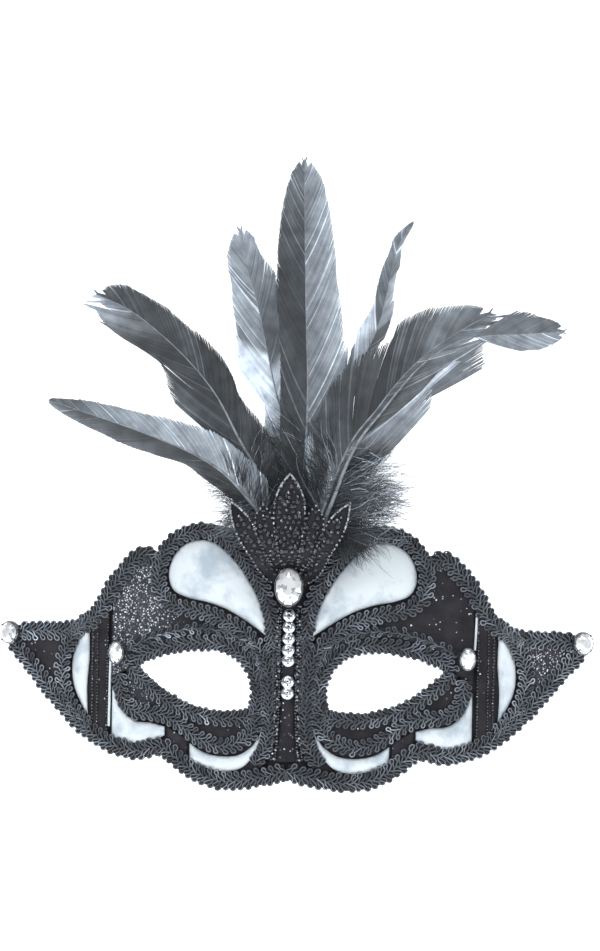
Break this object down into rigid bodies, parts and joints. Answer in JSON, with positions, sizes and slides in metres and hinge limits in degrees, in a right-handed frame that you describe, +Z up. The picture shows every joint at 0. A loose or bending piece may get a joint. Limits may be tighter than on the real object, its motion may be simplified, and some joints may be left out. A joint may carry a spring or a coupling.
{
  "type": "venetian masquerade mask",
  "caption": "Half-face masquerade mask with eye holes, padded silver panels, looped braid, rhinestones and a feather plume on the forehead.",
  "frame": {"origin": "inside of the mask at the bridge of the nose, where the wearer's face holds it", "axes": "+X to the viewer's right, +Z up, the front of the mask faces -Y and the wearer is on the +Y side"},
  "size_m": [0.2326, 0.0649, 0.2425],
  "materials": {
    "shell": "moulded, black, slightly rough",
    "lining_felt": "black felt",
    "binding_tape": "black cotton tape wound round the quills",
    "tab_tape": "black woven tape",
    "silver_satin": "pale blue-silver satin",
    "black_velvet": "near-black velvet with fine silver glitter",
    "gimp_braid": "charcoal satin cord with a blue-grey sheen",
    "bead_trim": "black glass seed beads on velvet tape",
    "sequins": "black cup sequins, glossy",
    "applique_beads": "black sequins and seed beads sewn on net",
    "stone_setting": "dark silvery cup",
    "rhinestone": "clear faceted, foil backed",
    "dark_feather": "slate feather with a satin sheen",
    "light_feather": "pale grey feather with a downy base"
  },
  "bodies": {
    "root": {"mask_shell": "shell", "lining": "lining_felt", "base_cloth": "black_velvet", "nose_velvet": "black_velvet", "nose_sequins": "sequins", "applique": "applique_beads", "centre_setting": "stone_setting", "centre_stone": "rhinestone", "plume_binding": "binding_tape", "forehead_panel_right": "silver_satin", "forehead_panel_left": "silver_satin", "temple_panel_right": "silver_satin", "temple_panel_left": "silver_satin", "cheek_panel_right": "silver_satin", "cheek_panel_left": "silver_satin", "undereye_panel_right": "silver_satin", "undereye_panel_left": "silver_satin", "brow_velvet_right": "black_velvet", "brow_velvet_left": "black_velvet", "wing_velvet_right": "black_velvet", "wing_velvet_left": "black_velvet", "undereye_velvet_right": "black_velvet", "undereye_velvet_left": "black_velvet", "cheek_tab_right": "black_velvet", "cheek_tab_left": "black_velvet", "edge_braid_right": "gimp_braid", "edge_braid_left": "gimp_braid", "eye_braid_right": "gimp_braid", "eye_braid_left": "gimp_braid", "nose_bead_trim_right": "bead_trim", "nose_bead_trim_left": "bead_trim", "forehead_braid_right": "gimp_braid", "forehead_braid_left": "gimp_braid", "undereye_braid_right": "gimp_braid", "undereye_braid_left": "gimp_braid", "brow_braid_right": "gimp_braid", "brow_braid_left": "gimp_braid", "temple_band_right": "bead_trim", "temple_band_left": "bead_trim", "temple_braid_right": "gimp_braid", "temple_braid_left": "gimp_braid", "temple_setting_right": "stone_setting", "temple_setting_left": "stone_setting", "temple_stone_right": "rhinestone", "temple_stone_left": "rhinestone", "tip_setting_right": "stone_setting", "tip_setting_left": "stone_setting", "tip_stone_right": "rhinestone", "tip_stone_left": "rhinestone", "ribbon_tab_right": "tab_tape", "ribbon_tab_left": "tab_tape", "feather_inner_left": "light_feather", "feather_thin_right": "light_feather", "feather_upper_left": "dark_feather", "feather_centre_tall": "dark_feather", "feather_low_left": "dark_feather", "feather_big_right": "dark_feather", "feather_far_right": "dark_feather"}
  },
  "joints": []
}
